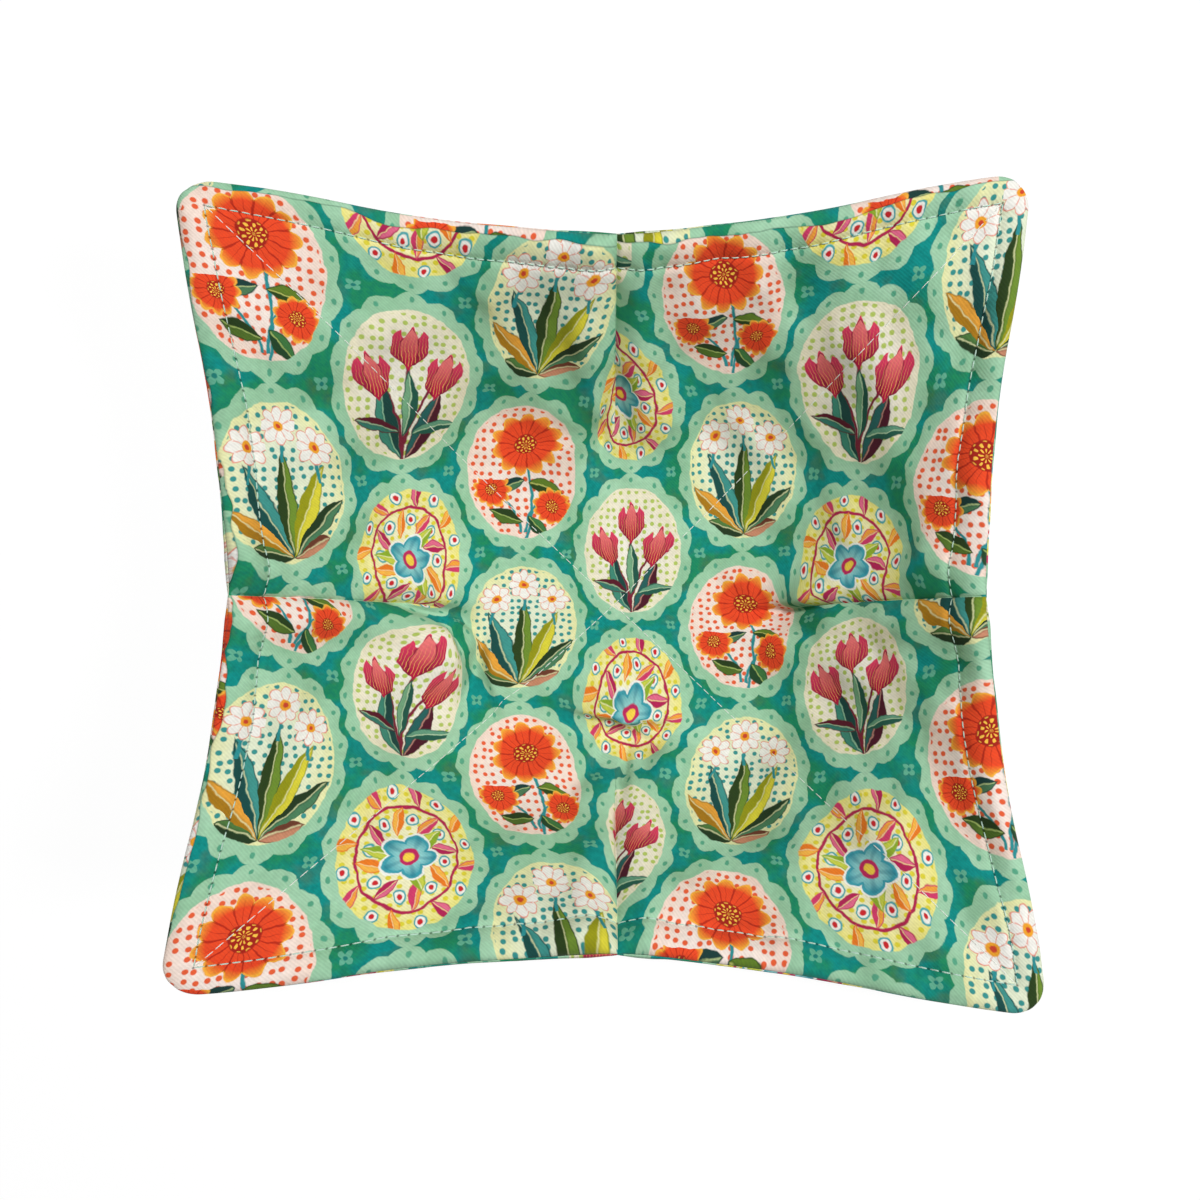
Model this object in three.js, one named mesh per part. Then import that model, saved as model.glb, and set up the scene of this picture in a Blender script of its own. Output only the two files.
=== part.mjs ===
// A bowl cozy: a soft square dish that a hot bowl stands in. It is two quilted panels, one
// inside the other, each shaped by four darts and sewn to the other round the rim.
// Units are millimetres and +Z is up. The cozy stands on z = 0 with its middle at the origin.

import * as THREE from 'three';
import { ParametricGeometry } from 'three/addons/geometries/ParametricGeometry.js';
import { mergeGeometries, mergeVertices } from 'three/addons/utils/BufferGeometryUtils.js';

// The cut pieces
const CUT_SQUARE = 254;
const SEAM_ALLOWANCE = 6.35;
const DART_LENGTH = 62;
const HALF = CUT_SQUARE / 2 - SEAM_ALLOWANCE;
const DART_TIP = HALF - DART_LENGTH;

// The sewn sheets: cotton with its batting, a little apart where they lie together
const PANEL_THICKNESS = 2.8;
const PANEL_GAP = 0.3;
const RIM_EDGE = 0.9;
const RIM_ROUND = 3;
const CORNER_RADIUS = 11;

// Topstitching that holds both panels together near the rim
const STITCH_INSET = 8;
const STITCH_DIP = 0.7;
const STITCH_WIDTH = 2.5;

// The sewn dart: a groove along the seam between two puffed sides
const GROOVE_DEPTH = 2;
const GROOVE_WIDTH = 3.5;
const PUFF_HEIGHT = 2;
const PUFF_FROM_SEAM = 9;
const PUFF_WIDTH = 6;
const DART_FADE = 16;

// How the walls stand, on the face that the bowl touches, above the inner face of the base.
// Each side is given where its dart meets the rim, and each corner at its tip.
const SIDES = {
  right: { reach: 97.5, height: 47.5 },
  back: { reach: 96, height: 51.5 },
  left: { reach: 99.8, height: 53.5 },
  front: { reach: 91, height: 50.5 },
};
const CORNERS = {
  backRight: { x: 107.3, y: 109.3, height: 61.5 },
  backLeft: { x: 113.9, y: 106.6, height: 63.5 },
  frontLeft: { x: 111.5, y: 98.2, height: 64.5 },
  frontRight: { x: 106.7, y: 105.2, height: 59.5 },
};
const BASE_HALF = 29;
const WALL_BEND = 0.48;
const CORNER_DROOP = 1.68;
const CORNER_CUP = 5.9;
const BELLY = 0.07;
const BELLY_FROM = 29;
const BELLY_TO = 91;
const FLARE_SOFTNESS = 12;

// Dimples at the points of the darts, where both panels are pushed outwards.
// x and y are on the sewn cloth.
const DART_POINTS = [
  { x: 56, y: -4, radius: 15, depth: 3.8 },
  { x: -1, y: 58, radius: 14, depth: 3.6 },
  { x: -57, y: -6, radius: 14, depth: 4.4 },
  { x: 4, y: -55, radius: 13, depth: 4.2 },
];

// Folds and puffs of the inner panel that the darts leave, each a soft ridge.
// x and y are on the sewn cloth, and turn is in degrees.
const FOLDS = [
  { x: -60, y: -19, turn: -62, length: 14, width: 10, height: 5.5 },
  { x: -63, y: 7, turn: -12, length: 14, width: 8, height: 3.2 },
  { x: 4, y: -39, turn: -9, length: 17, width: 7, height: 5 },
  { x: -13, y: 68, turn: 72, length: 15, width: 9, height: 3.5 },
  { x: 13, y: 70, turn: 100, length: 15, width: 8, height: 2.6 },
  { x: 66, y: 6, turn: 4, length: 14, width: 8, height: 3.2 },
  { x: 61, y: -18, turn: -12, length: 18, width: 8, height: 3 },
  { x: 20, y: -58, turn: 78, length: 12, width: 7, height: 2.8 },
];

// Grid lines on the cloth, from the middle to the rim: close together at the seams and the edge
const WALL_STEPS = 9;
const LINES = [0, 6, 13, 20, BASE_HALF - 3, BASE_HALF];
const WALL_END = HALF - STITCH_INSET - 5;
for (let i = 1; i <= WALL_STEPS; i += 1) {
  LINES.push(BASE_HALF + ((WALL_END - BASE_HALF) * i) / WALL_STEPS);
}
LINES.push(HALF - STITCH_INSET, HALF - RIM_ROUND, HALF);
const GRID = 2 * (LINES.length - 1);

const smooth = (t) => THREE.MathUtils.smoothstep(t, 0, 1);
const bell = (distance, width) => Math.exp(-((distance / width) ** 2));
const dome = (distance, radius) => Math.max(0, 1 - (distance / radius) ** 2) ** 2;

// Cloth coordinate of grid line number i, counted from the left or front rim
function lineAt(i) {
  const fromMiddle = i - (LINES.length - 1);
  return Math.sign(fromMiddle) * LINES[Math.abs(fromMiddle)];
}

// Rounds the square's corners: inside each corner square, a square is squeezed to a quarter disc
function roundCorner(x, y) {
  const straight = HALF - CORNER_RADIUS;
  const u = (Math.abs(x) - straight) / CORNER_RADIUS;
  const v = (Math.abs(y) - straight) / CORNER_RADIUS;
  if (u <= 0 || v <= 0) return [x, y];
  return [
    Math.sign(x) * (straight + CORNER_RADIUS * u * Math.sqrt(1 - (v * v) / 2)),
    Math.sign(y) * (straight + CORNER_RADIUS * v * Math.sqrt(1 - (u * u) / 2)),
  ];
}

// Distance from the rounded rim, on the cloth
function fromRim(x, y) {
  const u = Math.abs(x) - HALF + CORNER_RADIUS;
  const v = Math.abs(y) - HALF + CORNER_RADIUS;
  const outside = Math.hypot(Math.max(u, 0), Math.max(v, 0));
  return Math.max(0, CORNER_RADIUS - outside - Math.min(Math.max(u, v), 0));
}

// How far up its wall a cloth line lies: 0 on the flat base and 1 at the rim
const upWall = (t) => Math.max(0, (t - BASE_HALF) / (HALF - BASE_HALF));

// Height of a wall above the base, as a share of its height at the rim: it bends up off the
// base as a parabola, and is straight from there on
function rise(t) {
  const up = upWall(t);
  const bent = up < WALL_BEND ? up ** 2 / (2 * WALL_BEND) : up - WALL_BEND / 2;
  return bent / (1 - WALL_BEND / 2);
}

// Share by which a quarter of the dish is cupped between two walls
const cup = (t) => Math.sin(Math.PI * upWall(t)) ** 2;

// How far out a point lies, as a share of the rim's reach. Near a dart the wall stands steeper
// towards the rim, so the cloth below it reaches out sooner.
function spread(t, across) {
  const belly = 1 - smooth((across - BELLY_FROM) / (BELLY_TO - BELLY_FROM));
  return t / HALF + BELLY * Math.sin((Math.PI * t) / HALF) ** 2 * belly;
}

// How far the rim has flared from a side towards a corner: straight, but soft at the dart
const fromSide = (t) => Math.hypot(t, FLARE_SOFTNESS) - FLARE_SOFTNESS;
const flare = (t) => fromSide(t) / fromSide(HALF);

// How deep the dimples at the dart points are
const dimple = (x, y) => DART_POINTS.reduce(
  (sum, point) => sum + point.depth * dome(Math.hypot(x - point.x, y - point.y), point.radius),
  0,
);

// The dish's surface over the cloth point (x, y). Across each quarter the two walls add up,
// less what the corner leans outwards.
function dish(x, y) {
  const a = Math.abs(x);
  const b = Math.abs(y);
  const sideX = x >= 0 ? SIDES.right : SIDES.left;
  const sideY = y >= 0 ? SIDES.back : SIDES.front;
  const corner = CORNERS[(y >= 0 ? 'back' : 'front') + (x >= 0 ? 'Right' : 'Left')];
  const reachX = sideX.reach + (corner.x - sideX.reach) * flare(b);
  const reachY = sideY.reach + (corner.y - sideY.reach) * flare(a);
  const droop = (upWall(a) * upWall(b)) ** CORNER_DROOP;
  return new THREE.Vector3(
    Math.sign(x) * reachX * spread(a, b),
    Math.sign(y) * reachY * spread(b, a),
    sideX.height * rise(a) + sideY.height * rise(b)
      - (sideX.height + sideY.height - corner.height) * droop
      + CORNER_CUP * cup(a) * cup(b)
      - dimple(x, y),
  );
}

// Unit normal of the dish, up and into the bowl
function dishNormal(x, y) {
  const step = 0.05;
  const alongX = dish(x + step, y).sub(dish(x - step, y));
  const alongY = dish(x, y + step).sub(dish(x, y - step));
  return alongX.cross(alongY).normalize();
}

// Height that a dart seam adds: along is the way out to the rim, across is the way off the seam
function dartRelief(along, across) {
  const sewn = smooth((along - DART_TIP) / DART_FADE);
  const groove = GROOVE_DEPTH * bell(across, GROOVE_WIDTH);
  const puff = PUFF_HEIGHT * bell(across - PUFF_FROM_SEAM, PUFF_WIDTH);
  return sewn * (puff - groove);
}

const seamRelief = (x, y) => dartRelief(Math.abs(x), Math.abs(y)) + dartRelief(Math.abs(y), Math.abs(x))
  - STITCH_DIP * bell(fromRim(x, y) - STITCH_INSET, STITCH_WIDTH);

function foldRelief(x, y) {
  return FOLDS.reduce((sum, fold) => {
    const turn = THREE.MathUtils.degToRad(fold.turn);
    const along = (x - fold.x) * Math.cos(turn) + (y - fold.y) * Math.sin(turn);
    const across = (y - fold.y) * Math.cos(turn) - (x - fold.x) * Math.sin(turn);
    return sum + fold.height * bell(along, fold.length) * bell(across, fold.width);
  }, 0);
}

// Thickness of a panel with its seams, rounded off at the rim, and nowhere less than its edge's
function thickness(x, y) {
  const inwards = Math.min(fromRim(x, y) / RIM_ROUND, 1);
  const plain = RIM_EDGE + (PANEL_THICKNESS - RIM_EDGE) * Math.sqrt(1 - (1 - inwards) ** 2);
  return Math.max(RIM_EDGE, plain + seamRelief(x, y) * (plain / PANEL_THICKNESS));
}

// Heights of the four faces above the dish's surface, along its normal
const innerBack = (x, y) => foldRelief(x, y) - PANEL_THICKNESS;
const innerFront = (x, y) => innerBack(x, y) + thickness(x, y);
const outerFront = () => -PANEL_THICKNESS - PANEL_GAP;
const outerBack = (x, y) => outerFront() - thickness(x, y);
const BASE_HEIGHT = 2 * PANEL_THICKNESS + PANEL_GAP;

// A closed sheet between two faces, each given by its height over the dish
function sheet(name, front, back, material) {
  const place = (i, j, height, target) => {
    const [x, y] = roundCorner(lineAt(i), lineAt(j));
    target.copy(dish(x, y)).addScaledVector(dishNormal(x, y), height(x, y));
    target.z += BASE_HEIGHT;
  };
  const onGrid = (share) => Math.round(share * GRID);
  const edge = (i, j, share, target) => place(i, j, share < 0.5 ? back : front, target);
  const surfaces = [
    [(u, v, target) => place(onGrid(u), onGrid(v), front, target), GRID],
    [(u, v, target) => place(onGrid(v), onGrid(u), back, target), GRID],
    [(u, v, target) => edge(onGrid(u), 0, v, target), 1],
    [(u, v, target) => edge(GRID - onGrid(u), GRID, v, target), 1],
    [(u, v, target) => edge(0, GRID - onGrid(u), v, target), 1],
    [(u, v, target) => edge(GRID, onGrid(u), v, target), 1],
  ].map(([shape, stacks]) => {
    const surface = new ParametricGeometry(shape, GRID, stacks);
    surface.deleteAttribute('normal');
    surface.deleteAttribute('uv');
    return surface;
  });
  const geometry = mergeVertices(mergeGeometries(surfaces), 0.01);
  geometry.computeVertexNormals();
  const mesh = new THREE.Mesh(geometry, material);
  mesh.name = name;
  return mesh;
}

const printedCotton = () => new THREE.MeshStandardMaterial({ color: 0x2f9488, roughness: 0.9, metalness: 0 });

const cozy = new THREE.Group();
cozy.add(sheet('inner_panel', innerFront, innerBack, printedCotton()));
cozy.add(sheet('outer_panel', outerFront, outerBack, printedCotton()));

export default cozy;
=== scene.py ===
import math

import bpy
import numpy as np
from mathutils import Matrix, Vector


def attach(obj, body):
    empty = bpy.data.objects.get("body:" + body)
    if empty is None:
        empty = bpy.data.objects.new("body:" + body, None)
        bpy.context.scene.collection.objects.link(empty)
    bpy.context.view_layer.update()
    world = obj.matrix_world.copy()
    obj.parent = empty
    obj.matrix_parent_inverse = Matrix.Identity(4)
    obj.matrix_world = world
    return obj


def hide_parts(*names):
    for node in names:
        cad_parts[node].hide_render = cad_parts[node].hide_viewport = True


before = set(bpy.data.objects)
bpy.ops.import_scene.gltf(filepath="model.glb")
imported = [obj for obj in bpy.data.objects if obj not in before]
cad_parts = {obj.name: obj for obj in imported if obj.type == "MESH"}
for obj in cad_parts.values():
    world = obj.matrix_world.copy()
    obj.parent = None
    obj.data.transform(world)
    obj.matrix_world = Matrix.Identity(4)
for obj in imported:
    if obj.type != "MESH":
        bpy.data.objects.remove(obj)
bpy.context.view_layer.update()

# The sewn form. Each panel is a square of cotton fused to thin batting, with a dart sewn in the
# middle of every side, so that it stands up as a square dish. Lengths are in millimetres on the
# sewn cloth, whose middle is (0, 0), and the dish is the face that the bowl touches.
METRES = 0.001
CUT_SQUARE = 254.0
SEAM_ALLOWANCE = 6.35
HALF = CUT_SQUARE / 2 - SEAM_ALLOWANCE
DART_LENGTH = 62.0
DART_TIP = HALF - DART_LENGTH
DART_TAKEN = 19.0  # cloth that half a dart takes in at the rim
CORNER_RADIUS = 11.0
PANEL_THICKNESS = 2.8
PANEL_GAP = 0.3
BASE_HEIGHT = 2 * PANEL_THICKNESS + PANEL_GAP
STITCH_INSET = 8.0

SIDE = {  # reach of the rim at a dart, and its height above the base's inner face
    "right": (97.5, 47.5),
    "back": (96.0, 51.5),
    "left": (99.8, 53.5),
    "front": (91.0, 50.5),
}
CORNER = {  # x, y and height of a corner's tip
    "back_right": (107.3, 109.3, 61.5),
    "back_left": (113.9, 106.6, 63.5),
    "front_left": (111.5, 98.2, 64.5),
    "front_right": (106.7, 105.2, 59.5),
}
BASE_HALF = 29.0
WALL_BEND = 0.48
CORNER_DROOP = 1.68
CORNER_CUP = 5.9
BELLY, BELLY_FROM, BELLY_TO = 0.07, 29.0, 91.0
FLARE_SOFTNESS = 12.0
DART_POINTS = [  # x, y, radius, depth
    (56, -4, 15, 3.8),
    (-1, 58, 14, 3.6),
    (-57, -6, 14, 4.4),
    (4, -55, 13, 4.2),
]


def smooth(t):
    """Rises from 0 to 1 with level ends as t goes from 0 to 1."""
    t = np.clip(t, 0, 1)
    return t * t * (3 - 2 * t)


def bell(distance, width):
    """A hump that is 1 in the middle and falls to 1/e at its width."""
    return np.exp(-((distance / width) ** 2))


def from_rim(x, y):
    """Distance inwards from the rounded rim: the signed distance of a rounded square."""
    u = np.abs(x) - HALF + CORNER_RADIUS
    v = np.abs(y) - HALF + CORNER_RADIUS
    outside = np.hypot(np.maximum(u, 0), np.maximum(v, 0))
    return np.maximum(0, CORNER_RADIUS - outside - np.minimum(np.maximum(u, v), 0))


def dish(x, y):
    """The dish over the cloth point (x, y), as an array of points. Each coordinate is spread to the
    rim's reach, which flares towards the corners. Each wall bends up off the base as a parabola and
    is straight from there on, and the heights of the two walls add up, less the droop of the corner,
    plus a cup between the walls and less a dimple at each dart's point."""
    a, b = np.abs(x), np.abs(y)
    right, back = x >= 0, y >= 0
    reach_x, high_x = (np.where(right, *pair) for pair in zip(SIDE["right"], SIDE["left"]))
    reach_y, high_y = (np.where(back, *pair) for pair in zip(SIDE["back"], SIDE["front"]))
    corners = (CORNER[k] for k in ("back_right", "back_left", "front_right", "front_left"))
    tip_x, tip_y, tip_z = (
        np.where(back, np.where(right, br, bl), np.where(right, fr, fl))
        for br, bl, fr, fl in zip(*corners)
    )

    def from_side(t):
        return np.hypot(t, FLARE_SOFTNESS) - FLARE_SOFTNESS

    def flare(t):
        return from_side(t) / from_side(HALF)

    def spread(t, across):
        belly = 1 - smooth((across - BELLY_FROM) / (BELLY_TO - BELLY_FROM))
        return t / HALF + BELLY * np.sin(np.pi * t / HALF) ** 2 * belly

    def rise(up):
        bent = np.where(up < WALL_BEND, up**2 / (2 * WALL_BEND), up - WALL_BEND / 2)
        return bent / (1 - WALL_BEND / 2)

    up_a, up_b = (np.maximum(0, (t - BASE_HALF) / (HALF - BASE_HALF)) for t in (a, b))
    droop = (up_a * up_b) ** CORNER_DROOP
    cup = (np.sin(np.pi * up_a) * np.sin(np.pi * up_b)) ** 2
    z = high_x * rise(up_a) + high_y * rise(up_b)
    z = z - (high_x + high_y - tip_z) * droop + CORNER_CUP * cup
    for px, py, radius, depth in DART_POINTS:
        z = z - depth * np.maximum(0, 1 - (np.hypot(x - px, y - py) / radius) ** 2) ** 2
    return np.stack(
        [
            np.sign(x) * (reach_x + (tip_x - reach_x) * flare(b)) * spread(a, b),
            np.sign(y) * (reach_y + (tip_y - reach_y) * flare(a)) * spread(b, a),
            z,
        ],
        -1,
    )


def dish_normal(x, y):
    """Unit normal of the dish, up and into the bowl, from differences over a short step."""
    step = 0.05
    along_x = dish(x + step, y) - dish(x - step, y)
    along_y = dish(x, y + step) - dish(x, y - step)
    normal = np.cross(along_x, along_y)
    return normal / np.linalg.norm(normal, axis=-1, keepdims=True)


def on_dish(x, y, height):
    """Points at a height over the dish's surface, with the base lifted by both panels' thickness."""
    return dish(x, y) + dish_normal(x, y) * height[..., None] + np.array([0, 0, BASE_HEIGHT])


# The panels: two squares of cotton and batting, sewn to each other round the rim. The sides of a
# dart roll into its seam, the rim is turned and topstitched, and the batting puffs up between the
# seams. The darts leave folds that only the inner panel shows.
SEAM_ROLL, SEAM_DEPTH = 6.0, 2.5
DART_FADE = 16.0
PUFF_HEIGHT, PUFF_FROM_SEAM, PUFF_WIDTH = 2.0, 9.0, 6.0
RIM_ROLL, RIM_EDGE = 3.2, 0.5
STITCH_DIP, STITCH_VALLEY = 0.5, 1.0
BAND_PUFF = 0.3
QUILT_DIP, QUILT_VALLEY = 0.45, 1.2
PUCKER_HEIGHT, PUCKER_LENGTH = 0.12, 5.3
THINNEST = 0.35
LUMPS, RIPPLES = (16, 38, 0.65), (6, 13, 0.12)  # shortest and longest wave of the batting, and height
PUCKER_DRIFT = (30, 70, 2.2)
INNER_SEED, OUTER_SEED = 11, 23
WALL_LINES = 95
FOLDS = [  # x, y, turn in degrees, length, width, height, and how far its crest leans over
    (-62, -20, -62, 13, 8, 7.8, 6.4),
    (-63, 9, -12, 14, 7, 3.8, -3.6),
    (4, -35.5, -9, 18, 5.4, 7.2, -6.0),
    (-13, 68, 72, 15, 8, 4.0, -3.4),
    (13, 70, 100, 15, 7, 2.8, 1.8),
    (65, 6.5, 4, 14, 6, 4.6, -4.0),
    (61, -18, -12, 18, 8, 3.4, 2.0),
    (20, -58, 78, 12, 6, 3.2, 2.4),
]
CREASES = [  # finer than the folds, in the same columns
    (-53, -11, -39, 9, 3.2, 4.0, 2.4),
    (-46, -26, 75, 13, 3.4, -3.0, 0),
    (-37, -25, -78, 13, 4.2, 4.4, -3.4),
    (-67, -3, -19, 9, 1.8, -2.2, 0),
    (-6, -37, -3, 9, 2.8, 1.8, -1.4),
    (2, -48, -9, 17, 3.5, -3.0, 0),
    (-8, -58, 52, 9, 3.5, -1.8, 0),
    (3.5, -62, 82, 9, 1.8, -2.2, 0),
    (60, -2.2, 2, 14, 1.9, -3.0, 0),
    (97, 17, 65, 11, 5, -1.2, 0),
    (-5, 63, 88, 9, 2.2, -1.8, 0),
    (-24, 49, 30, 11, 5, 2.2, 2.2),
    (40, 58, -35, 12, 6, 1.8, 1.5),
    (21, -103, -58, 8, 2.2, 0.7, 0),
    (27, -99, -62, 10, 2.2, -0.5, 0),
    (-92, 62, 35, 12, 3.5, -0.9, 0),
    (-70, 88, 60, 12, 4, 0.9, 0),
    (84, -66, 40, 14, 4, -0.9, 0),
    (88, 70, -50, 13, 4, 0.8, 0),
]


def ridges(table, x, y):
    """Soft ridges and troughs, each a long bell along its turned axis and a narrow one across: their
    height, and how far they carry the cloth along x and y where they lean over."""
    total = [np.zeros_like(x), np.zeros_like(x), np.zeros_like(x)]
    for mx, my, turn, length, width, height, lean in table:
        c, s = math.cos(math.radians(turn)), math.sin(math.radians(turn))
        along = (x - mx) * c + (y - my) * s
        across = (y - my) * c - (x - mx) * s
        shape = bell(along, length) * bell(across, width)
        for i, share_of in enumerate((height, -s * lean, c * lean)):
            total[i] = total[i] + share_of * shape
    return total


def waves(x, y, seed, shortest, longest, height, count=14):
    """Unevenness of soft batting: a sum of sine waves in drawn directions, lengths and phases."""
    draw = np.random.default_rng(seed)
    heading = draw.uniform(0, np.pi, count)
    turns = 2 * np.pi / draw.uniform(shortest, longest, count)
    phase = draw.uniform(0, 2 * np.pi, count)
    carried = x[..., None] * np.cos(heading) + y[..., None] * np.sin(heading)
    return height * np.sin(carried * turns + phase).sum(-1) / math.sqrt(count / 2)


def seam_relief(x, y, seed):
    """Height that the sewing adds: darts as two edges rolled into a seam between puffs, the stitched
    valley inside the rim, a puffed band outside it, and short puckers across that band."""
    a, b = np.abs(x), np.abs(y)
    relief = np.zeros_like(x)
    for along, across in ((a, b), (b, a)):
        sewn = smooth((along - DART_TIP) / DART_FADE)
        rolled = 1 - np.minimum(across / SEAM_ROLL, 1)
        groove = SEAM_DEPTH * (1 - np.sqrt(1 - rolled**2))
        relief = relief + sewn * (PUFF_HEIGHT * bell(across - PUFF_FROM_SEAM, PUFF_WIDTH) - groove)
    inwards = from_rim(x, y)
    relief = relief - STITCH_DIP * bell(inwards - STITCH_INSET, STITCH_VALLEY)
    relief = relief + BAND_PUFF * bell(inwards - STITCH_INSET / 2, STITCH_INSET / 4)
    round_rim = np.where(a > b, y, x)
    slow = waves(round_rim, np.sign(x + y) * 40, seed, *PUCKER_DRIFT, count=4)
    pucker = np.sin(2 * np.pi * round_rim / PUCKER_LENGTH + slow)
    return relief + PUCKER_HEIGHT * pucker * bell(inwards - STITCH_INSET + 1, 4)


def quilted(x, y):
    """How far down, from 0 to 1, the quilting stitches pull the cloth beside the diagonals."""
    return bell((np.abs(x) - np.abs(y)) / 2**0.5, QUILT_VALLEY)


def panel_thickness(x, y, seed):
    """Thickness of a panel: batting with its seams and unevenness, rolled off to the rim's edge."""
    rolled = 1 - np.minimum(from_rim(x, y) / RIM_ROLL, 1)
    plain = RIM_EDGE + (PANEL_THICKNESS - RIM_EDGE) * np.sqrt(1 - rolled**2)
    upwards = smooth((np.maximum(np.abs(x), np.abs(y)) - BASE_HALF) / BASE_HALF)
    uneven = waves(x, y, seed, *LUMPS) * (0.4 + 0.6 * upwards) + waves(x, y, seed + 1, *RIPPLES)
    return plain + (seam_relief(x, y, seed) + uneven) * (plain / PANEL_THICKNESS)


def inner_back(x, y):
    """Hidden face of the inner panel: its thickness under the dish, and lifted by the folds."""
    return ridges(FOLDS, x, y)[0] - PANEL_THICKNESS


def inner_front(x, y):
    """Face that the bowl touches, with the folds and the finer creases."""
    fine = ridges(CREASES, x, y)[0] - QUILT_DIP / 2 * quilted(x, y)
    return inner_back(x, y) + np.maximum(THINNEST, panel_thickness(x, y, INNER_SEED) + fine)


def on_inner(x, y, height):
    """Points of the inner panel over the dish, carried along where its folds lean."""
    _, lean_x, lean_y = ridges(FOLDS + CREASES, x, y)
    return on_dish(x + lean_x, y + lean_y, height)


def outer_front(x, y):
    """Hidden face of the outer panel, a gap below the inner one."""
    return np.full_like(x, -PANEL_THICKNESS - PANEL_GAP)


def outer_back(x, y):
    """Underside of the cozy. It is plain between its quilting on the base, where it lies on the table."""
    climbing = smooth((np.maximum(np.abs(x), np.abs(y)) - BASE_HALF) / 24)
    thick = PANEL_THICKNESS + (panel_thickness(x, y, OUTER_SEED) - PANEL_THICKNESS) * climbing
    return outer_front(x, y) - np.maximum(THINNEST, thick - QUILT_DIP * quilted(x, y))


def cloth_lines():
    """Grid lines on the cloth from rim to rim: close at the darts' seams, and at the stitching and the
    turned edge, which are given by their distance from the rim."""
    seam = np.array([0, 0.25, 0.6, 1.1, 1.7, 2.5, 3.4, 4.4])
    stitching = np.array([12, 11, 10.2, 9.5, 9, 8.6, 8.3, 8, 7.7, 7.4, 7, 6.4])
    turned_edge = np.array([5.6, 4.6, 3.6, 2.8, 2.1, 1.5, 1, 0.6, 0.3, 0.1, 0])
    wall = np.linspace(5.4, HALF - 13, WALL_LINES)
    half = np.concatenate([seam, wall, HALF - stitching, HALF - turned_edge])
    return np.concatenate([-half[:0:-1], half])


def round_corner(x, y):
    """Squeezes the square of cloth at each corner to a quarter disc."""
    straight = HALF - CORNER_RADIUS
    u, v = ((np.abs(t) - straight) / CORNER_RADIUS for t in (x, y))
    turned = (u > 0) & (v > 0)
    new_x = np.sign(x) * (straight + CORNER_RADIUS * u * np.sqrt(np.maximum(0, 1 - v * v / 2)))
    new_y = np.sign(y) * (straight + CORNER_RADIUS * v * np.sqrt(np.maximum(0, 1 - u * u / 2)))
    return np.where(turned, new_x, x), np.where(turned, new_y, y)


def cut_position(x, y, side_x, side_y):
    """Where sewn cloth lay in the flat cut square, from 0 to 1 both ways. A dart has taken in a wedge
    on each side of its seam, so the cloth of each quarter moves apart by that wedge."""
    wedge_x, wedge_y = (
        DART_TAKEN * np.maximum(0, (t - DART_TIP) / DART_LENGTH) for t in (np.abs(y), np.abs(x))
    )
    flat_x = wedge_x + np.abs(x) / HALF * (HALF - wedge_x)
    flat_y = wedge_y + np.abs(y) / HALF * (HALF - wedge_y)
    return np.stack([0.5 + side_x * flat_x / CUT_SQUARE, 0.5 + side_y * flat_y / CUT_SQUARE], -1)


def mesh_object(name, points, faces):
    """A mesh object from points in millimetres and rows of corner numbers, all with smooth faces."""
    corners = np.concatenate([f.ravel() for f in faces]).astype(np.int32)
    sizes = np.concatenate([np.full(len(f), f.shape[1], np.int32) for f in faces])
    mesh = bpy.data.meshes.new(name)
    mesh.vertices.add(len(points))
    mesh.vertices.foreach_set("co", (points * METRES).astype(np.float32).ravel())
    mesh.loops.add(len(corners))
    mesh.loops.foreach_set("vertex_index", corners)
    mesh.polygons.add(len(sizes))
    mesh.polygons.foreach_set("loop_start", (np.cumsum(sizes) - sizes).astype(np.int32))
    mesh.polygons.foreach_set("loop_total", sizes)
    mesh.update(calc_edges=True)
    mesh.validate()
    mesh.shade_smooth()
    piece = bpy.data.objects.new(name, mesh)
    bpy.context.scene.collection.objects.link(piece)
    return piece, corners, sizes


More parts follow.
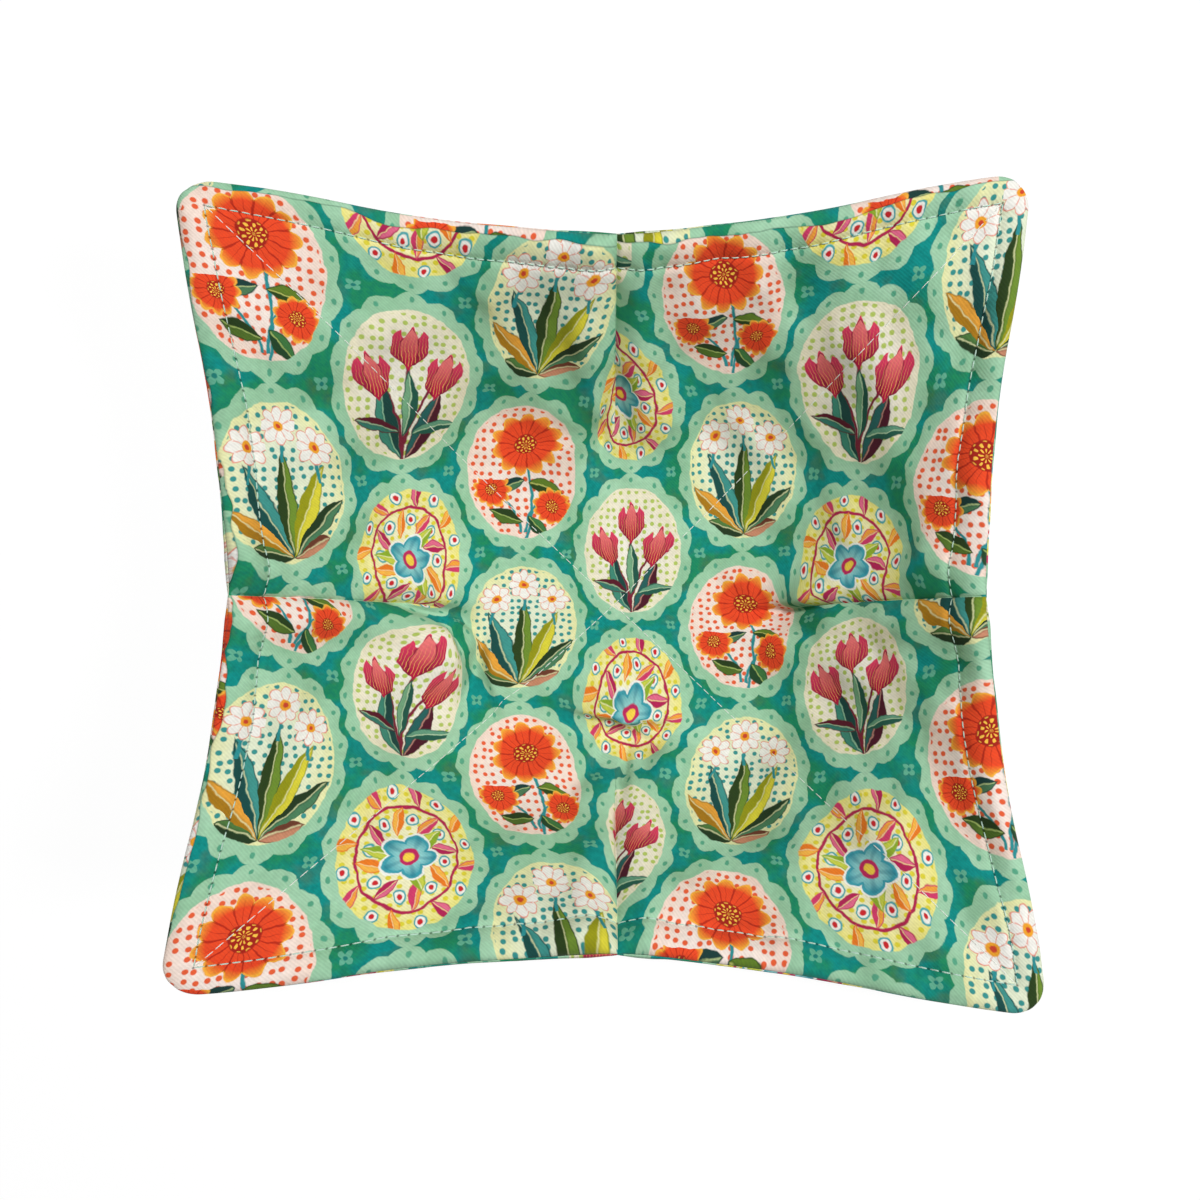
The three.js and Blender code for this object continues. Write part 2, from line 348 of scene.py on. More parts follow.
def sewn_panel(name, seen, hidden, placed):
    """A closed panel over the cloth grid, placed by on_inner or on_dish. The seen face has every grid
    line and the hidden one every second, and three triangles join each pair of fine rim edges to a
    coarse one."""
    lines = cloth_lines()
    fine_x, fine_y = np.meshgrid(lines, lines, indexing="ij")
    fine_x, fine_y = round_corner(fine_x, fine_y)
    coarse_x, coarse_y = fine_x[::2, ::2], fine_y[::2, ::2]
    fine = np.arange(fine_x.size).reshape(fine_x.shape)
    coarse = fine.size + np.arange(coarse_x.size).reshape(coarse_x.shape)

    def quads(grid):
        return np.stack([grid[:-1, :-1], grid[1:, :-1], grid[1:, 1:], grid[:-1, 1:]], -1).reshape(-1, 4)

    def rim(grid):
        return np.concatenate([grid[:-1, 0], grid[-1, :-1], grid[:0:-1, -1], grid[0, :0:-1]])

    f0, f1 = rim(fine)[::2], rim(fine)[1::2]
    f2, c0 = np.roll(f0, -1), rim(coarse)
    c1 = np.roll(c0, -1)
    edge = np.concatenate([np.stack(t, -1) for t in ((f0, c0, f1), (f1, c0, c1), (f1, c1, f2))])
    faces = [quads(fine), quads(coarse)[:, ::-1], edge]
    if placed is on_dish:
        faces = [f[:, ::-1] for f in faces]
    points = np.concatenate(
        [
            placed(fine_x, fine_y, seen(fine_x, fine_y)).reshape(-1, 3),
            placed(coarse_x, coarse_y, hidden(coarse_x, coarse_y)).reshape(-1, 3),
        ]
    )
    piece, corners, sizes = mesh_object(name, points, faces)

    x = np.concatenate([fine_x.ravel(), coarse_x.ravel()])[corners]
    y = np.concatenate([fine_y.ravel(), coarse_y.ravel()])[corners]
    starts = np.cumsum(sizes) - sizes
    side_x, side_y = (
        np.repeat(np.where(np.add.reduceat(t, starts) >= 0, 1.0, -1.0), sizes) for t in (x, y)
    )
    cut = piece.data.uv_layers.new(name="Cut")
    cut.uv.foreach_set("vector", cut_position(x, y, side_x, side_y).astype(np.float32).ravel())
    sewn = piece.data.uv_layers.new(name="Sewn")
    sewn.uv.foreach_set("vector", (0.5 + np.stack([x, y], -1) / (2 * HALF)).astype(np.float32).ravel())
    return piece


inner_panel = sewn_panel("inner_panel_cloth", inner_front, inner_back, on_inner)
outer_panel = sewn_panel("outer_panel_cloth", outer_back, outer_front, on_dish)


# The print. Quilting cotton printed edge to edge with scalloped oval medallions on mottled teal,
# each column half a repeat off the last, with four kinds of flowers and leaves in turn.
def dye(colour):
    """A colour written as six hex digits, as the linear numbers that a node takes."""
    parts = [int(colour[i : i + 2], 16) / 255 for i in (0, 2, 4)]
    return tuple(c / 12.92 if c <= 0.04045 else ((c + 0.055) / 1.055) ** 2.4 for c in parts) + (1.0,)


class Wire:
    """A value that flows through a material. Arithmetic on it adds Math nodes."""

    def __init__(self, finish, socket):
        self.finish = finish
        self.socket = socket

    def math(self, operation, *values, **settings):
        inputs = dict(enumerate(values))
        return self.finish.node("ShaderNodeMath", {"operation": operation, **settings}, inputs)

    def __add__(self, other):
        return self.math("ADD", self, other)

    def __sub__(self, other):
        return self.math("SUBTRACT", self, other)

    def __rsub__(self, other):
        return self.math("SUBTRACT", other, self)

    def __mul__(self, other):
        return self.math("MULTIPLY", self, other)

    def __truediv__(self, other):
        return self.math("DIVIDE", self, other)

    def __mod__(self, other):
        return self.math("FLOORED_MODULO", self, other)

    def __abs__(self):
        return self.math("ABSOLUTE", self)

    def __lt__(self, other):
        return self.math("LESS_THAN", self, other)

    def __gt__(self, other):
        return self.math("GREATER_THAN", self, other)

    __radd__ = __add__
    __rmul__ = __mul__


class Finish:
    """A material built from formulas round one Principled shader."""

    def __init__(self, name, **constants):
        self.material = bpy.data.materials.new(name)
        self.material.use_nodes = True
        self.tree = self.material.node_tree
        self.shader = self.tree.nodes["Principled BSDF"]
        self.constants = {socket.replace("_", " "): value for socket, value in constants.items()}
        for socket, value in self.constants.items():
            self.shader.inputs[socket].default_value = value

    def feed(self, socket, value):
        """Links a wire to a socket, or sets the socket to a number or colour."""
        if isinstance(value, Wire):
            self.tree.links.new(value.socket, socket)
        else:
            socket.default_value = value

    def node(self, kind, settings=None, inputs=None, output=0):
        """Adds any node: its settings first, a ramp's stops among them, then its inputs."""
        node = self.tree.nodes.new(kind)
        for name, value in (settings or {}).items():
            if name == "stops":
                for place, _ in value[2:]:
                    node.color_ramp.elements.new(place)
                for element, (place, colour) in zip(node.color_ramp.elements, value):
                    element.position = place
                    element.color = colour
            elif name == "steps":
                node.color_ramp.interpolation = "CONSTANT"
            else:
                setattr(node, name, value)
        for key, value in (inputs or {}).items():
            self.feed(node.inputs[key], value)
        return Wire(self, node.outputs[output])

    def mix(self, share, first, second):
        """A colour that goes from first to second as share goes from 0 to 1."""
        return self.node("ShaderNodeMix", {"data_type": "RGBA"}, {0: share, 6: first, 7: second}, 2)

    def parts(self, vector):
        """The x and y of a vector, as two wires."""
        split = self.node("ShaderNodeSeparateXYZ", {}, {0: vector})
        return split, Wire(self, split.socket.node.outputs[1])

    def pick(self, place, *colours):
        """One of several colours, by a whole number from 0."""
        stops = [(i / len(colours), dye(c)) for i, c in enumerate(colours)]
        share = (place + 0.5) / len(colours)
        return self.node("ShaderNodeValToRGB", {"steps": True, "stops": stops}, {0: share})

    def noise(self, vector, scale, detail=2.0, output=0):
        """Cloudy noise over a vector, from 0 to 1, or as a colour from output 1."""
        inputs = {"Vector": vector, "Scale": scale, "Detail": detail}
        return self.node("ShaderNodeTexNoise", {"noise_dimensions": "2D"}, inputs, output)


def sine(w):
    return w.math("SINE", w)


def cosine(w):
    return w.math("COSINE", w)


def whole(w):
    return w.math("FLOOR", w)


def larger(v, w):
    return v.math("MAXIMUM", v, w)


def smaller(v, w):
    return v.math("MINIMUM", v, w)


def line(w, slope, start):
    """slope times w, plus start."""
    return w.math("MULTIPLY_ADD", w, slope, start)


def share(w, low, high):
    """0 where w is low, 1 where it is high, and even between them."""
    return w.math("MULTIPLY_ADD", w, 1 / (high - low), -low / (high - low), use_clamp=True)


def inside(distance, grow=0.0, blur=0.13):
    """1 where a signed distance in millimetres is below grow, with an edge as soft as printed ink."""
    return share(distance, grow + blur, grow - blur)


def far(x, y):
    """Distance of a point from the origin."""
    pair = x.finish.node("ShaderNodeCombineXYZ", {}, {0: x, 1: y})
    return x.finish.node("ShaderNodeVectorMath", {"operation": "LENGTH"}, {0: pair}, 1)


def heading(x, y):
    """Angle of a point about the origin, anticlockwise from +x."""
    return y.math("ARCTAN2", y, x)


class Drawing:
    """A picture in the making, in millimetres: each call lays a shape over what is there."""

    def __init__(self, place, colour):
        self.finish = place.finish
        self.place = place
        self.x, self.y = place.finish.parts(place)
        self.colour = colour

    def lay(self, mask, ink):
        self.colour = self.finish.mix(mask, self.colour, dye(ink) if isinstance(ink, str) else ink)

    def leaf(self, foot, turn, length, width, bend, dark, light, rib):
        """A leaf from its foot: a parabola across, bent along its length, with one lighter half
        and a pale rib. turn is anticlockwise from +x, in degrees."""
        own = {"Vector": self.place, "Location": (*foot, 0), "Rotation": (0, 0, math.radians(turn))}
        own["Scale"] = (length, width, 1)
        own = self.finish.node("ShaderNodeMapping", {"vector_type": "TEXTURE"}, own)
        along, across = self.finish.parts(own)
        across = across.math("MULTIPLY_ADD", along * along, bend / width, across)
        body = (1 - along) * along
        body = body.math("MULTIPLY_ADD", body, -4 * width, abs(across) * width)
        self.lay(inside(body), dark)
        self.lay(inside(body, -0.22) * share(across, -0.15, 0.25), light)
        self.lay(inside(body, -0.35) * inside(abs(across), 0.12 / width, 0.13 / width), rib)

    def stem(self, distance, ink):
        self.lay(inside(distance, 0.38), ink)


def tulips(draw):
    """Three tulips that lean apart, on stems from one foot between long leaves."""
    x, y = draw.x, draw.y
    wide = abs(x)
    rise = y + 17.5
    outer = abs(wide - rise * rise * (7.6 / 20.5**2))
    draw.stem(smaller(wide + (y > 6) * 9, outer + (y > 3) * 9) + (y < -17.5) * 9, "7d2036")
    draw.leaf((0, -17.5), 122, 19, 2.3, 5, "17443f", "3f8a76", "9cc9a5")
    draw.leaf((0.5, -17.5), 55, 17, 2.4, -4, "4c1024", "24605c", "c98a7a")
    draw.leaf((0, -12), 82, 15, 1.7, -2, "1f5546", "74a881", "b9d8b0")
    draw.leaf((-1, -11), 152, 11, 1.6, -2, "5a1226", "347768", "a8c9a0")
    draw.leaf((1.5, -11.5), 24, 11, 1.5, 3, "225a4a", "62997c", "b9d8b0")
    side = smaller(larger(x.math("ROUND", x * (1 / 7.6)), -1), 1)
    dy = y - 9.5 + abs(side) * 6.6
    dx = x - side * line(dy, 0.28, 7.6)
    low = (dy + 0.5) * (1 / 5.4)
    cup = larger(abs(dx) - (1 - low * low) * 4.3, dy - line(cosine(dx * 2.1), 1.5, 2.9))
    draw.lay(inside(cup), draw.finish.mix(share(dy, -5, 4), dye("8c0c32"), dye("ea3f68")))
    low = (dy + 1.3) * (1 / 5.2)
    middle = larger(abs(dx) - (1 - low * low) * 1.9, dy - 3.8)
    draw.lay(inside(middle), draw.finish.mix(share(dy, -4, 4), dye("b81840"), dye("f6807f")))
    draw.lay(inside(abs(middle), 0.1) * inside(cup, -0.2), "7a0a2a")
    streaks = abs((dx * 1.5) % 1 - 0.5)
    draw.lay(inside(cup, -0.5) * share(streaks, 0.36, 0.5) * share(dy, 2.5, -3) * 0.8, "ffc766")


def daisies(draw):
    """One large orange daisy and two small ones, on teal stems with broad leaves."""
    x, y = draw.x, draw.y
    low = y < -2.2
    draw.stem(abs(x - 1 + (y + 17) * (y - 6) * 0.012) + (y > 0) * 9 + (y < -17.5) * 9, "2b8f93")
    rise = y + 16
    draw.stem(abs(abs(x) - line(rise * rise, 0.055, 0.6)) + (y > -7) * 9 + (y < -16) * 9, "2b8f93")
    draw.leaf((0, -13), 168, 8.5, 1.9, 1, "263d16", "527026", "a9bf6a")
    draw.leaf((1.5, -11.5), -58, 7.5, 1.9, -1, "204426", "3f783f", "a9bf6a")
    draw.leaf((1, -3), 190, 8, 1.7, -1, "183c38", "4c7a54", "b7c98a")
    draw.leaf((2, -3.5), -8, 8.5, 1.8, 1, "2b4415", "617f26", "c2c96a")
    side = x.math("SIGN", x)
    dx = x - 1 + low * line(side, -7.4, 1)
    dy = y - 6.8 + low * line(side, 2, 13.8)
    r = far(dx, dy)
    angle = heading(dx, dy)
    size = line(low, -4.0, 8.8)
    lobe = abs(cosine(angle * 5.5))
    rim = r - line(lobe, 0.2, 0.8) * size
    out = r / size
    draw.lay(inside(rim), "f9b23c")
    draw.lay(inside(rim, -0.45) * share(out, 1.02, 0.72), "ee4a22")
    draw.lay(inside(rim, -0.2) * inside((lobe - 0.2) * r, 0, 0.35) * 0.8, "b3230f")
    vein = abs(sine(angle * 11))
    draw.lay(inside(rim, -0.8) * inside((vein - 0.18) * r, 0, 0.3) * share(out, 0.9, 0.5) * 0.7, "b3230f")
    draw.lay(share(out, 0.36, 0.33), "a81f12")
    seeds = cosine(angle * 9) * cosine(out * 28)
    draw.lay(share(out, 0.33, 0.3) * share(seeds, 0.1, 0.5), "ffc94a")


def wreath(draw):
    """A wreath of slanting leaves and white-rimmed berries round one blue flower."""
    squeezed = draw.x * (1 / 0.76)
    r = far(squeezed, draw.y)
    count = 16
    place = heading(squeezed, draw.y) * (count / (2 * math.pi))
    index = whole(place)
    outward = line(index % 2, 2, -1)
    side = (place - index - 0.5) * r * (2 * math.pi / count)
    ring = r - 13.2
    out = ring * outward
    draw.stem(abs(ring), "b3224f")
    c, s = math.cos(math.radians(20)), math.sin(math.radians(20))
    start = side + 1.5
    along = out.math("MULTIPLY_ADD", out, c, start * s)
    across = start.math("MULTIPLY_ADD", start, c, out * -s)
    body = abs(across) - along * (7.8 - along) * (4 * 1.5 / 7.8**2)
    three = index % 3
    dark = draw.finish.pick(three, "b51f55", "ee7d22", "d33b6a")
    light = draw.finish.pick(three, "e46a8c", "f9b84a", "f2a23c")
    draw.lay(inside(body), dark)
    draw.lay(inside(body, -0.25) * share(across, -0.1, 0.4), light)
    draw.lay(inside(body, -0.35) * inside(abs(across), 0.1), "fbe0a0")
    berry = far(side, out + 3.2)
    draw.lay(inside(berry, 1.75), "4aa7ad")
    draw.lay(inside(berry, 1.3), "f6f3ea")
    draw.lay(inside(berry, 0.7), "d0252c")
    for turn in (50, 170, 290):
        draw.leaf((0, 0), turn, 9.5, 1.6, 1, "8fae2c", "c9d04a", "eef0b0")
    r = far(draw.x, draw.y)
    lobe = abs(cosine(line(heading(draw.x, draw.y), 2.5, 0.3)))
    rim = r - line(lobe, 1.9, 4.3)
    draw.lay(inside(rim), "f4f4ec")
    draw.lay(inside(rim, -0.5), "3f9fae")
    draw.lay(inside(rim, -1.3) * share(r, 5, 2.4), "8fd0d0")
    draw.lay(inside(rim, -0.9) * inside((0.97 - lobe) * r, 0, 0.3) * 0.6, "1f6f86")
    draw.lay(inside(r, 2.0), "c2275f")
    draw.lay(inside(r, 1.15), "fbd54a")


def fan(draw):
    """A fan of broad leaves from one foot under three small white daisies."""
    x, y = draw.x, draw.y
    foot = y + 16.5
    r = far(foot, x)
    place = line(heading(foot, x), 180 / math.pi / 23, 0.5)
    index = smaller(larger(whole(place), -3), 3)
    across = (place - 0.5 - index) * r * (23 * math.pi / 180)
    stretch = r / line(index * index, -1.6, 24)
    body = abs(across) - stretch * (1 - stretch) * 9.0
    inks = "22381c", "a97812", "144a46", "2a4016", "969610", "22381c", "6c3a28"
    lights = "4f7a3c", "e8a33a", "3f948c", "6f8f2e", "dcd23a", "4b7f5a", "c98a6a"
    draw.lay(inside(body), draw.finish.pick(index + 3, *inks))
    draw.lay(inside(body, -0.22) * share(across, -0.4, 0.6), draw.finish.pick(index + 3, *lights))
    draw.lay(inside(body, -0.4) * inside(abs(across), 0.12) * 0.8, "e6e6b0")
    side = smaller(larger(x.math("ROUND", x * (1 / 7.2)), -1), 1)
    dx = x - side * 7.2
    dy = y - 12.5 + abs(side) * 4.4
    draw.stem(abs(dx + side * (dy + 4) * 0.25) + (dy > 0) * 9 + (dy < -8) * 9, "2b8f93")
    r = far(dx, dy)
    lobe = abs(cosine(heading(dx, dy) * 4))
    rim = r - line(lobe, 1.2, 2.9)
    draw.lay(inside(rim, 0.25), "e98a78")
    draw.lay(inside(rim), "f4f2ea")
    draw.lay(inside(rim, -0.3) * inside((lobe - 0.25) * r, 0, 0.3) * 0.7, "e98a78")
    draw.lay(inside(r, 1.2), "f2a52c")
    draw.lay(inside(r, 0.55), "d0452c")


PITCH_X, PITCH_Y = 37.2, 54.0
OVAL_X, OVAL_Y = 17.2, 22.2
OVAL_MEAN = 18.0  # millimetres in one share of the way out of an oval
SCALLOPS, SCALLOP_REACH, SCALLOP_DEPTH = 14, 1.14, 1.53
BEAD_REACH, BEAD_SPACING, BEAD_RADIUS = 1.12, 7.9, 0.62
SPOT_PITCH = 2.7
MOTIF_SIZE = 1.26
ROLL_WAVER, ROLL_FROM, BACK_ROLL = 5, 2.1, 1.7  # of the strip where the other panel rolls over
TWILL = 0.72
RIM_STITCHES = 76
STITCH_PITCH = 2 * (HALF - STITCH_INSET) / RIM_STITCHES


def printed_cotton(name, middle_x, middle_y, rolls_over=None):
    """Printed cotton twill, cut with the square's middle at a place on the bolt in millimetres. At the
    back and the left rim the other panel rolls over it, and rolls_over is how far along the bolt
    that one was cut. The ground and each motif have a shader of their own."""
    cloth = Finish(name, Roughness=0.85, Sheen_Weight=0.03, Sheen_Roughness=0.6, Specular_IOR_Level=0.15)
    cut = cloth.node("ShaderNodeUVMap", {"uv_map": "Cut"})
    corner = (middle_x - CUT_SQUARE / 2, middle_y - CUT_SQUARE / 2, 0)
    bolt = {0: cut, 1: (CUT_SQUARE, CUT_SQUARE, 0), 2: corner}
    bolt = cloth.node("ShaderNodeVectorMath", {"operation": "MULTIPLY_ADD"}, bolt)
    sewn = cloth.node("ShaderNodeUVMap", {"uv_map": "Sewn"})
    sx, sy = cloth.parts(sewn)
    sx, sy = line(sx, 2 * HALF, -HALF), line(sy, 2 * HALF, -HALF)
    if rolls_over:
        back_or_left = larger(sy, 0 - sx) > HALF - 4
        over = larger(abs(sx), abs(sy)) + line(cloth.noise(bolt, 0.05), ROLL_WAVER, -HALF - ROLL_FROM)
        over = over + (sy > abs(sx)) * BACK_ROLL
        shifted = {0: (over > 0) * back_or_left, 1: (*rolls_over, 0), 2: bolt}
        bolt = cloth.node("ShaderNodeVectorMath", {"operation": "MULTIPLY_ADD"}, shifted)
    hand = {0: cloth.noise(bolt, 0.16, 3.0, 1), 1: (2.2, 2.2, 0), 2: bolt}
    x, y = cloth.parts(cloth.node("ShaderNodeVectorMath", {"operation": "MULTIPLY_ADD"}, hand))
    column = whole(x * (1 / PITCH_X))
    x = x - (column + 0.5) * PITCH_X
    y = y + (column % 2) * (PITCH_Y / 2)
    row = whole(y * (1 / PITCH_Y))
    y = y - (row + 0.5) * PITCH_Y
    kind = line(row, 2, column) % 4

    wash = cloth.noise(bolt, 0.07, 3.0)
    brush = cloth.noise(bolt, 0.7, 4.0)
    ground = cloth.mix(share(wash, 0.44, 0.6), dye("00958e"), dye("1c8f60"))
    ground = cloth.mix(share(cloth.noise(bolt, 0.11), 0.56, 0.7) * 0.4, ground, dye("5a6a34"))
    ground = cloth.mix(share(brush, 0.35, 0.75) * 0.55, ground, dye("006460"))
    picture = Drawing(cloth.node("ShaderNodeCombineXYZ", {}, {0: x, 1: y}), ground)
    across, up = abs(x) - PITCH_X * 0.37, abs(y) - PITCH_Y / 2
    lobe = abs(sine(heading(across, up) * 2))
    r = far(across, up)
    picture.lay(inside(r - lobe * 1.2, 0.9), "63b193")
    picture.lay(inside(r, 0.6), "1d7d74")

    def medallion(u, v):
        """How far out of a medallion's oval a point is, as a share, then the signed distances from
        its scalloped rim and from the nearest of the rim's beads."""
        out = far(u, v)
        around = heading(u, v) * (SCALLOPS / (2 * math.pi))
        scallops = line(out, OVAL_MEAN, -OVAL_MEAN * SCALLOP_REACH)
        scallops = scallops - abs(sine(around * math.pi)) * SCALLOP_DEPTH
        along = line(around % 1, BEAD_SPACING, -BEAD_SPACING / 2)
        return out, scallops, far(along, line(out, OVAL_MEAN, -OVAL_MEAN * BEAD_REACH))

    r, scallops, bead = medallion(x * (1 / OVAL_X), y * (1 / OVAL_Y))
    next_x, next_y = (PITCH_X - abs(x)) * (1 / OVAL_X), (PITCH_Y / 2 - abs(y)) * (1 / OVAL_Y)
    _, next_scallops, next_bead = medallion(next_x, next_y)
    rim = cloth.mix(share(wash, 0.3, 0.7), dye("a9d6b4"), dye("95c6a0"))
    picture.lay(inside(smaller(scallops, next_scallops)), rim)
    picture.lay(inside(smaller(bead, next_bead), BEAD_RADIUS), "58a584")
    centre = cloth.pick(kind, "f0ebdc", "f8e8de", "f3efc4", "e4ecd0")
    edge = cloth.pick(kind, "eee6c8", "f6dccc", "efe682", "e9e9ac")
    fill = cloth.mix(share(r, 0.5, 1.0), centre, edge)
    spots = {"Vector": bolt, "Scale": 1 / SPOT_PITCH, "Randomness": 0.4}
    spots = cloth.node("ShaderNodeTexVoronoi", {"voronoi_dimensions": "2D"}, spots)
    spots = share(spots, 0.31, 0.21) * share(r, 0.975, 0.96)
    fill = cloth.mix(spots, fill, cloth.pick(kind, "b4c862", "ea6036", "dfd23a", "389490"))

    twill = cloth.parts(bolt)
    twill = sine((twill[0] + twill[1]) * (2 * math.pi / (TWILL * 2**0.5)))
    threads = line(twill, 0.5, cloth.noise(bolt, 2.5, 2.0))
    bump = cloth.node("ShaderNodeBump", {}, {"Strength": 0.25, "Distance": 0.00012, "Height": threads})
    weave_and_painted_shade = [(share(brush, 0.75, 0.35) * 0.1 + share(twill, -1, 1) * 0.09, "20302c")]
    if rolls_over:
        # Painted shadow: a dark line where the other panel rolls over, standing in for the shade in the
        # crevice between the two panels.
        weave_and_painted_shade.append((inside(abs(over), 0.1, 0.2) * back_or_left * 0.6, "16302c"))
    # Painted shade: a dark dot at each needle hole of the topstitch, standing in for the shade in the pit
    # where the thread goes into the cloth.
    along = cloth.node("ShaderNodeMix", {}, {0: abs(sx) > abs(sy), 2: sx, 3: sy})
    seam = larger(abs(sx), abs(sy)) - (HALF - STITCH_INSET)
    hole = far((along + STITCH_PITCH / 2) % STITCH_PITCH - STITCH_PITCH / 2, seam)
    weave_and_painted_shade.append((inside(hole, 0.32, 0.2) * (abs(along) < HALF - STITCH_INSET + 1) * 0.75, "16201c"))

    def dyed(picture):
        """A shader for a finished picture, under the weave's darker lines, the painted shade of the
        stitch holes and of the line where the other panel rolls over, and the bump.
        """
        for mask, ink in weave_and_painted_shade:
            picture.lay(mask, ink)
        inputs = {**cloth.constants, "Base Color": picture.colour, "Normal": bump}
        return cloth.node("ShaderNodeBsdfPrincipled", {}, inputs)

    place = cloth.node("ShaderNodeCombineXYZ", {}, {0: x * (1 / MOTIF_SIZE), 1: y * (1 / MOTIF_SIZE)})
    medallions = None
    for number, motif in enumerate((tulips, daisies, wreath, fan)):
        draw = Drawing(place, fill)
        motif(draw)
        shader = dyed(draw)
        if medallions:
            either = {0: kind > number - 0.5, 1: medallions, 2: shader}
            shader = cloth.node("ShaderNodeMixShader", {}, either)
        medallions = shader
    either = {0: share(r, 1.007, 0.993), 1: dyed(picture), 2: medallions}
    printed = cloth.node("ShaderNodeMixShader", {}, either)
    cloth.tree.nodes.remove(cloth.shader)
    cloth.feed(cloth.tree.nodes["Material Output"].inputs["Surface"], printed)
    return cloth.material


inner_panel.data.materials.append(printed_cotton("inner_cotton", 11, 7, rolls_over=(23, 31)))
outer_panel.data.materials.append(printed_cotton("outer_cotton", 31, 40))
for panel in (inner_panel, outer_panel):
    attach(panel, "root")
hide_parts("inner_panel")
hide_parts("outer_panel")

# The sewing thread. Pale cotton: a topstitch round the rim that closes the cozy, and a cross of
# finer quilting stitches from corner to corner that holds both panels together.
def thread_run(start, end, count):
    """Ends of count equal stitches on a straight line of cloth from start to end."""
    share_along = np.linspace(0, 1, count + 1)[:, None]
    points = np.array(start) * (1 - share_along) + np.array(end) * share_along
    return points[:-1], points[1:]


def stitches(name, runs, face, side, thickness, cover):
    """Stitches on a face of the cozy: each is a thin closed tube that follows the cloth. Its line is
    0.4 of its thickness above the cloth in the middle and 0.35 below it at both ends. cover is the
    share of the pitch that shows."""
    first = np.concatenate([run[0] for run in runs])[:, None]
    last = np.concatenate([run[1] for run in runs])[:, None]
    stations = np.array([-1, -0.9, -0.55, 0, 0.55, 0.9, 1.0])
    around = np.linspace(0, 2 * np.pi, 6, endpoint=False)
    middle, half = (first + last) / 2, (last - first) / 2
    on_cloth = middle + half * (stations * cover)[:, None]
    x, y = on_cloth[..., 0], on_cloth[..., 1]
    arch = (1 - stations**4) * 0.75 - 0.35
    placed = on_inner if side > 0 else on_dish
    centre = placed(x, y, face(x, y) + side * thickness * arch)
    up = dish_normal(x, y) * side
    ahead = centre[:, -1:] - centre[:, :1]
    ahead = ahead / np.linalg.norm(ahead, axis=-1, keepdims=True)
    beside = np.cross(up, ahead)
    radius = thickness / 2 * np.sqrt(1 - np.abs(stations[1:-1]) ** 5)
    ring = up[:, 1:-1, None] * np.sin(around)[:, None] + beside[:, 1:-1, None] * np.cos(around)[:, None]
    ring = centre[:, 1:-1, None] + ring * radius[:, None, None]
    tubes, rows, sides = len(x), len(stations) - 2, len(around)
    points = np.concatenate([ring.reshape(tubes, -1, 3), centre[:, :1], centre[:, -1:]], 1)
    number = np.arange(rows * sides).reshape(rows, sides)
    turned = np.roll(number, -1, 1)
    walls = np.stack([number[:-1], number[1:], turned[1:], turned[:-1]], -1).reshape(-1, 4)
    poles = np.array([rows * sides, rows * sides + 1])
    caps = np.concatenate(
        [
            np.stack([turned[0], np.full(sides, poles[0]), number[0]], -1),
            np.stack([number[-1], np.full(sides, poles[1]), turned[-1]], -1),
        ]
    )
    step = np.arange(tubes)[:, None, None] * points.shape[1]
    faces = [(walls + step).reshape(-1, 4), (caps + step).reshape(-1, 3)]
    piece, _, _ = mesh_object(name, points.reshape(-1, 3), faces)
    return piece


CROSS_STITCHES = 104
edge = HALF - STITCH_INSET
square = [(-edge, -edge), (edge, -edge), (edge, edge), (-edge, edge)]
rim_runs = [thread_run(square[i], square[(i + 1) % 4], RIM_STITCHES) for i in range(4)]
cross_runs = [thread_run(square[i], square[i + 2], CROSS_STITCHES) for i in (0, 1)]

topstitch = Finish("topstitch_thread", Roughness=0.55, Sheen_Weight=0.3)
topstitch.feed(topstitch.shader.inputs["Base Color"], dye("b6d3c4"))
quilting = Finish("quilting_thread", Roughness=0.55, Sheen_Weight=0.3)
quilting.feed(quilting.shader.inputs["Base Color"], dye("e4e8e0"))
sewing = [
    ("topstitch_inside", rim_runs, inner_front, 1, 0.38, 0.78, topstitch),
    ("topstitch_under", rim_runs, outer_back, -1, 0.38, 0.78, topstitch),
    ("quilting_inside", cross_runs, inner_front, 1, 0.26, 0.84, quilting),
    ("quilting_under", cross_runs, outer_back, -1, 0.26, 0.84, quilting),
]
for name, runs, face, side, thickness, cover, thread in sewing:
    piece = stitches(name, runs, face, side, thickness, cover)
    piece.data.materials.append(thread.material)
    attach(piece, "root")

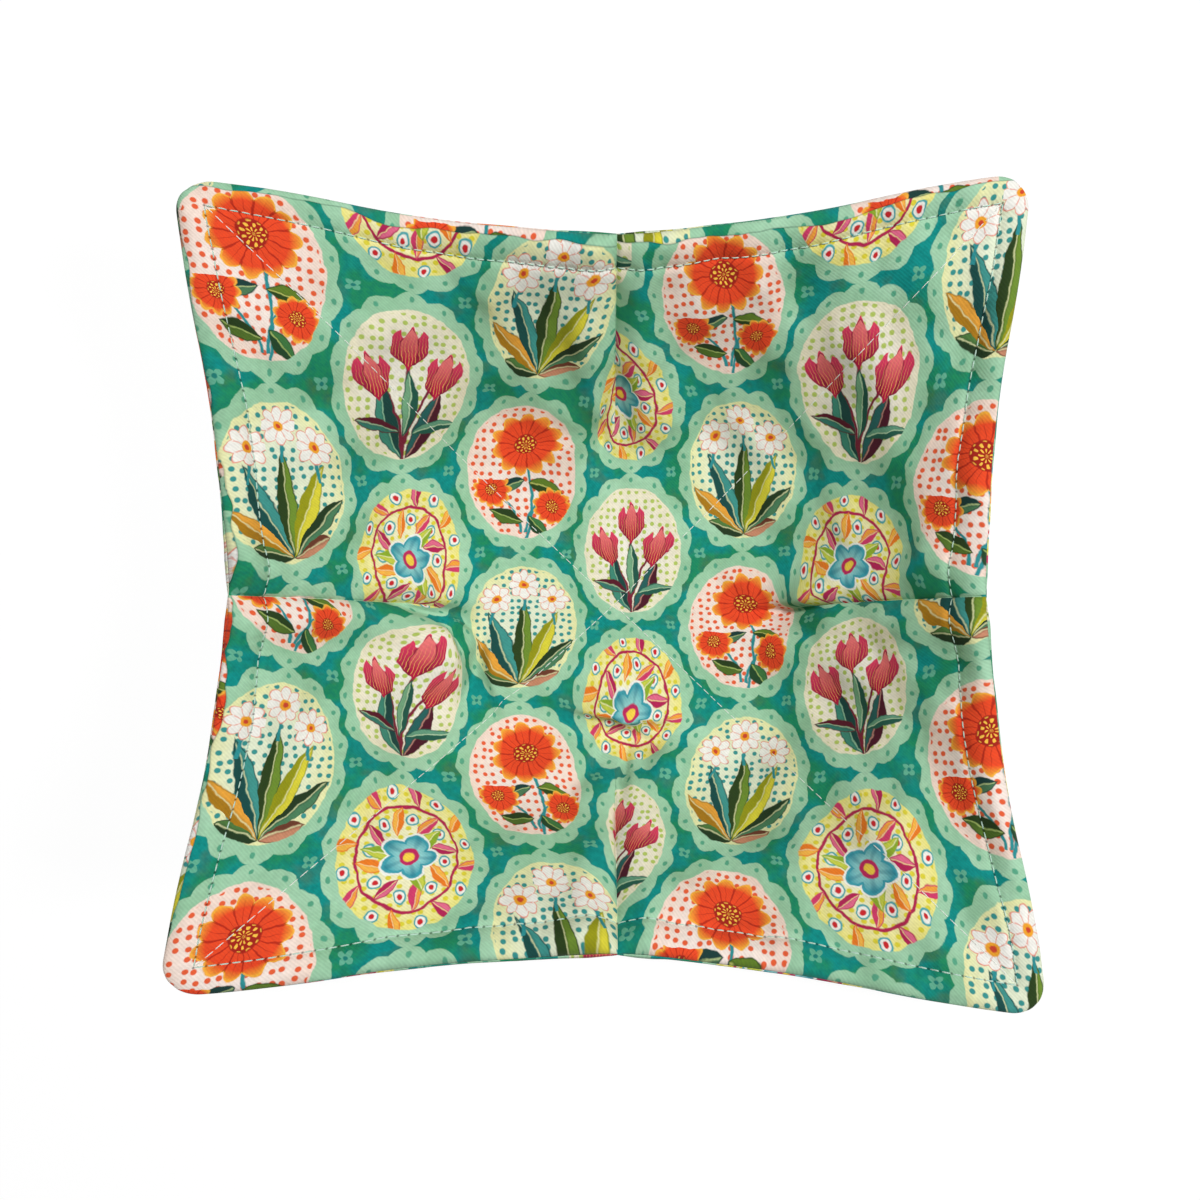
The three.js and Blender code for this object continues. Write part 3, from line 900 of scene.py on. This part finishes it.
# The white table under the cozy, and the light: a lamp above, a lower one from the right, and a
# very dim room. The camera sees the table and the room as white, and only the cloth's shadow on it.
TABLE_HALF, TABLE_HEIGHT = 2.0, -0.0002
quarters = ((-1, -1), (1, -1), (1, 1), (-1, 1))
table_corners = [(x * TABLE_HALF, y * TABLE_HALF, TABLE_HEIGHT) for x, y in quarters]
floor_mesh = bpy.data.meshes.new("table_top")
floor_mesh.from_pydata(table_corners, [], [(0, 1, 2, 3)])
floor = bpy.data.objects.new("table_top", floor_mesh)
bpy.context.scene.collection.objects.link(floor)
table = Finish("white_table", Roughness=0.9)
rays = table.node("ShaderNodeLightPath")
mirrored, through = (
    Wire(table, rays.socket.node.outputs[name]) for name in ("Is Glossy Ray", "Is Transmission Ray")
)
seen = larger(rays, larger(mirrored, through))
table.feed(table.shader.inputs["Base Color"], table.mix(seen, (0.8, 0.8, 0.8, 1), (0.12, 0.12, 0.12, 1)))
table.feed(table.shader.inputs["Emission Color"], table.mix(seen, (0, 0, 0, 1), (0.89, 0.89, 0.89, 1)))
table.shader.inputs["Emission Strength"].default_value = 1
floor_mesh.materials.append(table.material)

world = bpy.data.worlds.new("studio")
world.use_nodes = True
sky = world.node_tree.nodes["Background"]
rays = world.node_tree.nodes.new("ShaderNodeLightPath")
mixed = world.node_tree.nodes.new("ShaderNodeMix")
mixed.data_type = "RGBA"
mixed.inputs[6].default_value = (0.02, 0.02, 0.02, 1)
mixed.inputs[7].default_value = (1, 1, 1, 1)
world.node_tree.links.new(rays.outputs["Is Camera Ray"], mixed.inputs[0])
world.node_tree.links.new(mixed.outputs[2], sky.inputs["Color"])
bpy.context.scene.world = world
for name, place, size, power in (
    ("lamp_above", (0.08, 0.30, 1.20), 0.18, 12.0),
    ("window_right", (0.85, -0.16, 0.85), 0.3, 4.8),
):
    light = bpy.data.lights.new(name, "AREA")
    light.shape = "DISK"
    light.size = size
    light.energy = power
    lamp = bpy.data.objects.new(name, light)
    lamp.location = place
    lamp.rotation_euler = (-Vector(place)).to_track_quat("-Z", "Y").to_euler()
    bpy.context.scene.collection.objects.link(lamp)

view = bpy.data.cameras.new("from_above")
view.sensor_width = 36
view.lens = 25
camera = bpy.data.objects.new("from_above", view)
camera.location = (-0.0050, -0.0128, 0.2750)
camera.rotation_euler = (math.radians(3.05), math.radians(-0.10), 0)
bpy.context.scene.collection.objects.link(camera)
bpy.context.scene.camera = camera
bpy.context.scene.view_settings.view_transform = "Standard"
